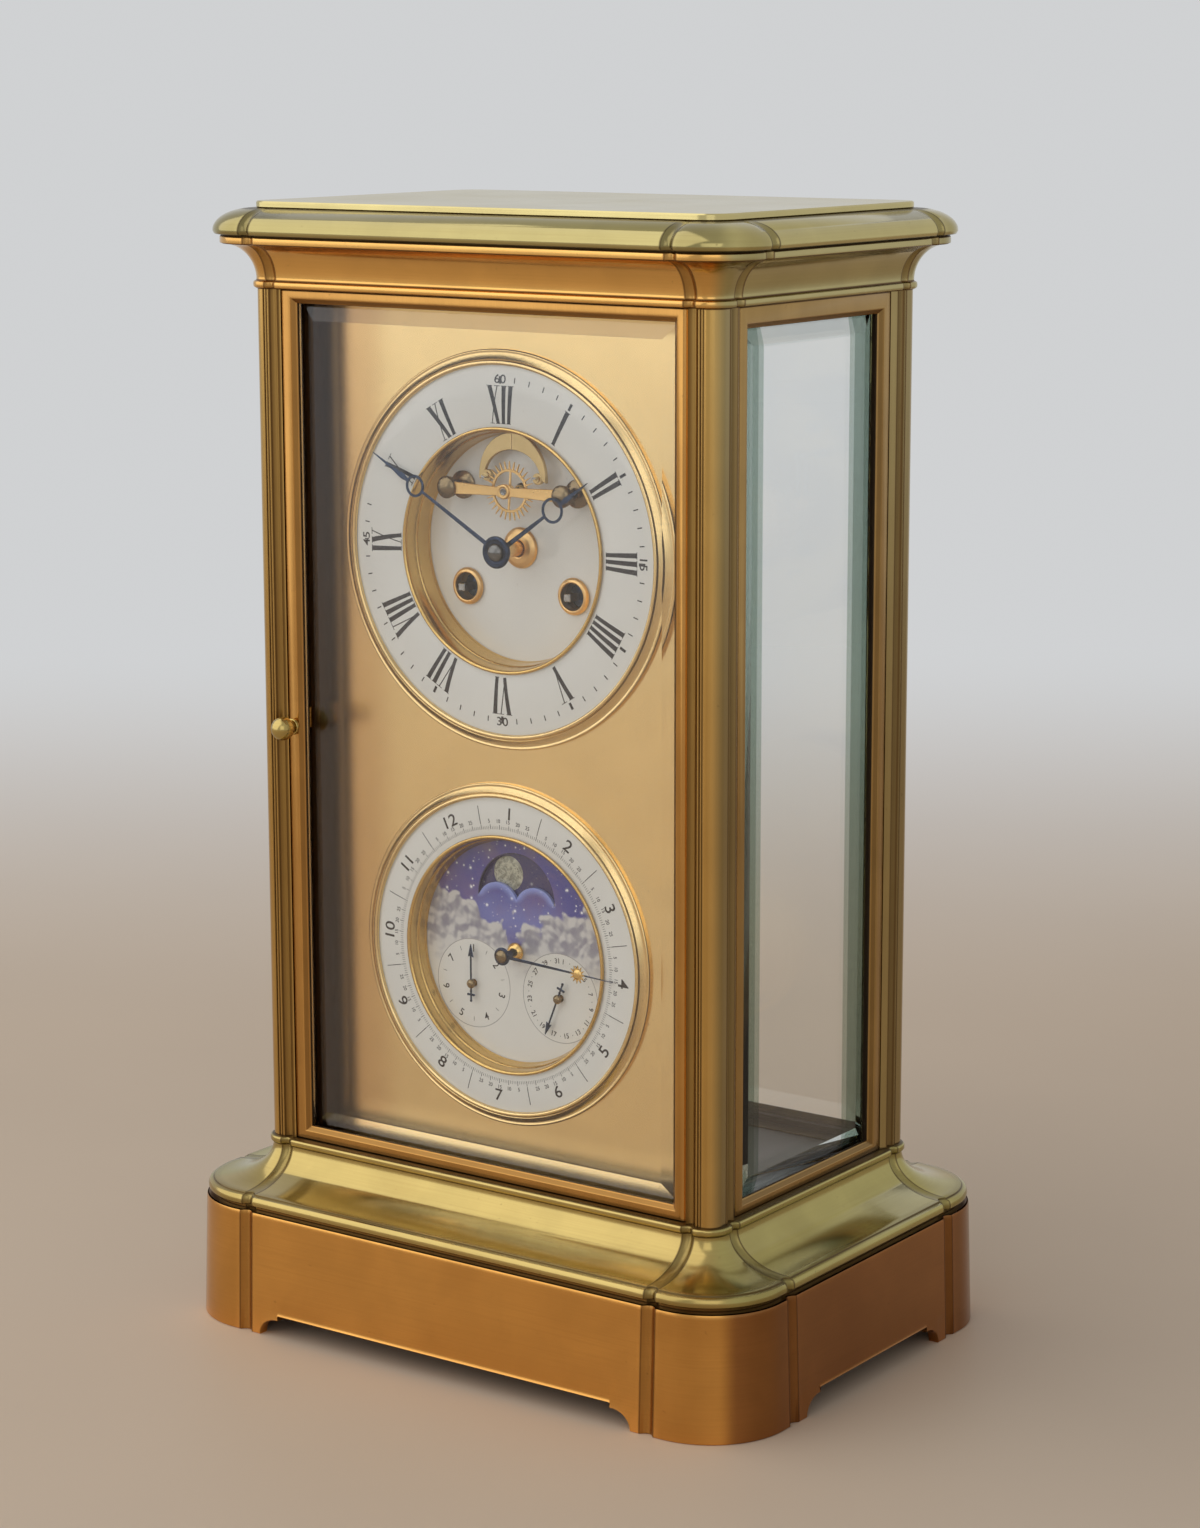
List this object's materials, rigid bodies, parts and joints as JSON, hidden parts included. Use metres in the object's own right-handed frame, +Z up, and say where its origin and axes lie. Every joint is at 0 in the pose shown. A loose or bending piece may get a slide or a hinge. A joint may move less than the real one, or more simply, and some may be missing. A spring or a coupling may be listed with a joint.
{
  "type": "four-glass table regulator clock",
  "caption": "Glazed brass table clock on a moulded plinth, with a visible escapement in the time dial and a moon and calendar dial below.",
  "frame": {"origin": "centre of the plinth's footprint, at the level it stands on", "axes": "+Z up, the front of the clock towards -Y, its right-hand side, seen from the front, towards +X"},
  "size_m": [0.247, 0.1778, 0.4034],
  "materials": {
    "polished_brass": "polished and lacquered",
    "satin_brass": "satin",
    "gilt_brass": "bright gilt",
    "polished_steel": "polished",
    "blued_steel": "polished and heat-blued",
    "white_enamel": "fired glossy enamel",
    "night_sky": "painted and varnished",
    "bevelled_glass": "clear, bevelled and polished"
  },
  "bodies": {
    "case": {"plinth": "polished_brass", "base_moulding": "polished_brass", "case_floor": "satin_brass", "pillar_front_right": "polished_brass", "pillar_front_left": "polished_brass", "pillar_rear_right": "polished_brass", "pillar_rear_left": "polished_brass", "side_frame_left": "polished_brass", "side_glass_left": "bevelled_glass", "side_frame_right": "polished_brass", "side_glass_right": "bevelled_glass", "cornice_cove": "polished_brass", "cornice_ovolo": "polished_brass", "top_plate": "polished_brass", "dial_plate": "satin_brass", "time_bezel": "polished_brass", "chapter_ring": "white_enamel", "time_inner_ring": "gilt_brass", "time_centre_dial": "white_enamel", "centre_boss": "gilt_brass", "grommet_left": "gilt_brass", "grommet_right": "gilt_brass", "calendar_bezel": "polished_brass", "calendar_ring": "white_enamel", "calendar_inner_ring": "gilt_brass", "calendar_centre_dial": "white_enamel", "movement_front_plate": "satin_brass", "movement_back_plate": "satin_brass", "suspension_cock": "polished_brass", "bell": "polished_brass", "escapement_cock": "gilt_brass", "calendar_back_plate": "satin_brass"},
    "front_door": {"front_door_frame": "polished_brass", "front_door_glass": "bevelled_glass"},
    "front_catch": {"front_door_catch": "polished_brass"},
    "rear_door": {"rear_door_frame": "polished_brass", "rear_door_glass": "bevelled_glass"},
    "rear_catch": {"rear_door_catch": "polished_brass"},
    "minute": {"minute_hand": "blued_steel", "centre_arbor": "polished_brass"},
    "hour": {"hour_hand": "blued_steel", "hour_wheel": "polished_brass"},
    "minute_wheel": {"minute_wheel": "polished_brass"},
    "second_wheel": {"second_wheel": "polished_brass"},
    "going_barrel": {"going_barrel": "polished_brass"},
    "third_wheel": {"third_wheel": "polished_brass"},
    "escape_wheel": {"escape_wheel": "gilt_brass"},
    "going_winding_arbor": {"going_winding_arbor": "polished_steel"},
    "strike_barrel": {"strike_barrel": "polished_brass"},
    "strike_winding_arbor": {"strike_winding_arbor": "polished_steel"},
    "strike_pin_wheel": {"strike_pin_wheel": "polished_brass"},
    "hammer": {"hammer": "polished_steel"},
    "pendulum": {"pendulum_rod": "polished_steel", "pendulum_bob": "polished_brass"},
    "anchor": {"anchor": "polished_steel"},
    "regulator": {"regulator_arbor": "polished_steel"},
    "date": {"date_hand": "blued_steel"},
    "weekday": {"weekday_hand": "blued_steel"},
    "month": {"month_hand": "blued_steel"},
    "moon": {"moon_disc": "night_sky"}
  },
  "joints": [
    {"name": "front_door_hinge", "type": "hinge", "parent": "case", "child": "front_door", "pos_m": [0.083, -0.0594, 0.219], "axis": [0, 0, 1], "range_deg": [0, 95]},
    {"name": "front_catch_turn", "type": "hinge", "parent": "front_door", "child": "front_catch", "pos_m": [-0.0829, -0.0616, 0.219], "axis": [0, -1, 0], "range_deg": [0, 90]},
    {"name": "rear_door_hinge", "type": "hinge", "parent": "case", "child": "rear_door", "pos_m": [-0.083, 0.0594, 0.219], "axis": [0, 0, 1], "range_deg": [0, 95]},
    {"name": "rear_catch_turn", "type": "hinge", "parent": "rear_door", "child": "rear_catch", "pos_m": [0.0829, 0.0616, 0.219], "axis": [0, 1, 0], "range_deg": [0, 90]},
    {"name": "minute_turn", "type": "hinge", "parent": "case", "child": "minute", "pos_m": [0, -0.0496, 0.2865], "axis": [0, 1, 0], "continuous": true},
    {"name": "hour_turn", "type": "hinge", "parent": "case", "child": "hour", "pos_m": [0, -0.0482, 0.2865], "axis": [0, 1, 0], "continuous": true},
    {"name": "minute_wheel_turn", "type": "hinge", "parent": "case", "child": "minute_wheel", "pos_m": [0.00839, -0.0318, 0.28084], "axis": [0, 1, 0], "continuous": true},
    {"name": "second_wheel_turn", "type": "hinge", "parent": "case", "child": "second_wheel", "pos_m": [-0.01567, -0.0238, 0.28996], "axis": [0, 1, 0], "continuous": true},
    {"name": "going_barrel_turn", "type": "hinge", "parent": "case", "child": "going_barrel", "pos_m": [-0.0226, -0.0224, 0.2715], "axis": [0, 1, 0], "continuous": true},
    {"name": "third_wheel_turn", "type": "hinge", "parent": "case", "child": "third_wheel", "pos_m": [0.01119, -0.0266, 0.29754], "axis": [0, 1, 0], "continuous": true},
    {"name": "escape_wheel_turn", "type": "hinge", "parent": "case", "child": "escape_wheel", "pos_m": [0, -0.0421, 0.3068], "axis": [0, 1, 0], "continuous": true},
    {"name": "going_winding_turn", "type": "hinge", "parent": "case", "child": "going_winding_arbor", "pos_m": [-0.0226, -0.04, 0.2715], "axis": [0, 1, 0], "continuous": true},
    {"name": "strike_barrel_turn", "type": "hinge", "parent": "case", "child": "strike_barrel", "pos_m": [0.0226, -0.0224, 0.2715], "axis": [0, 1, 0], "continuous": true},
    {"name": "strike_winding_turn", "type": "hinge", "parent": "case", "child": "strike_winding_arbor", "pos_m": [0.0226, -0.04, 0.2715], "axis": [0, 1, 0], "continuous": true},
    {"name": "strike_pin_wheel_turn", "type": "hinge", "parent": "case", "child": "strike_pin_wheel", "pos_m": [0.03031, -0.0238, 0.28965], "axis": [0, 1, 0], "continuous": true},
    {"name": "hammer_lift", "type": "hinge", "parent": "case", "child": "hammer", "pos_m": [0.031, 0.02, 0.3085], "axis": [0, -1, 0], "range_deg": [0, 12]},
    {"name": "pendulum_swing", "type": "hinge", "parent": "case", "child": "pendulum", "pos_m": [0, 0.014, 0.324], "axis": [0, 1, 0], "range_deg": [-2, 2]},
    {"name": "anchor_rock", "type": "hinge", "parent": "case", "child": "anchor", "pos_m": [0, -0.0404, 0.324], "axis": [0, 1, 0], "range_deg": [-2, 2]},
    {"name": "regulator_turn", "type": "hinge", "parent": "case", "child": "regulator", "pos_m": [0, -0.046, 0.348], "axis": [0, 1, 0], "continuous": true},
    {"name": "date_turn", "type": "hinge", "parent": "case", "child": "date", "pos_m": [0.0189, -0.0416, 0.1301], "axis": [0, 1, 0], "continuous": true},
    {"name": "weekday_turn", "type": "hinge", "parent": "case", "child": "weekday", "pos_m": [-0.0189, -0.0416, 0.1301], "axis": [0, 1, 0], "continuous": true},
    {"name": "month_turn", "type": "hinge", "parent": "case", "child": "month", "pos_m": [0, -0.048, 0.1442], "axis": [0, 1, 0], "continuous": true},
    {"name": "moon_turn", "type": "hinge", "parent": "case", "child": "moon", "pos_m": [0, -0.0377, 0.1628], "axis": [0, 1, 0], "continuous": true}
  ],
  "couplings": [
    {"joint": "hour_turn", "follows": "minute_turn", "ratio": 0.083333},
    {"joint": "minute_wheel_turn", "follows": "minute_turn", "ratio": -0.33333},
    {"joint": "second_wheel_turn", "follows": "minute_turn", "ratio": -0.125},
    {"joint": "going_barrel_turn", "follows": "minute_turn", "ratio": 0.020833},
    {"joint": "third_wheel_turn", "follows": "minute_turn", "ratio": -12},
    {"joint": "escape_wheel_turn", "follows": "minute_turn", "ratio": 132},
    {"joint": "strike_pin_wheel_turn", "follows": "strike_barrel_turn", "ratio": -6},
    {"joint": "anchor_rock", "follows": "pendulum_swing", "ratio": 1},
    {"joint": "weekday_turn", "follows": "date_turn", "ratio": 4.4286},
    {"joint": "moon_turn", "follows": "date_turn", "ratio": 0.52542},
    {"joint": "month_turn", "follows": "date_turn", "ratio": 0.084873}
  ]
}
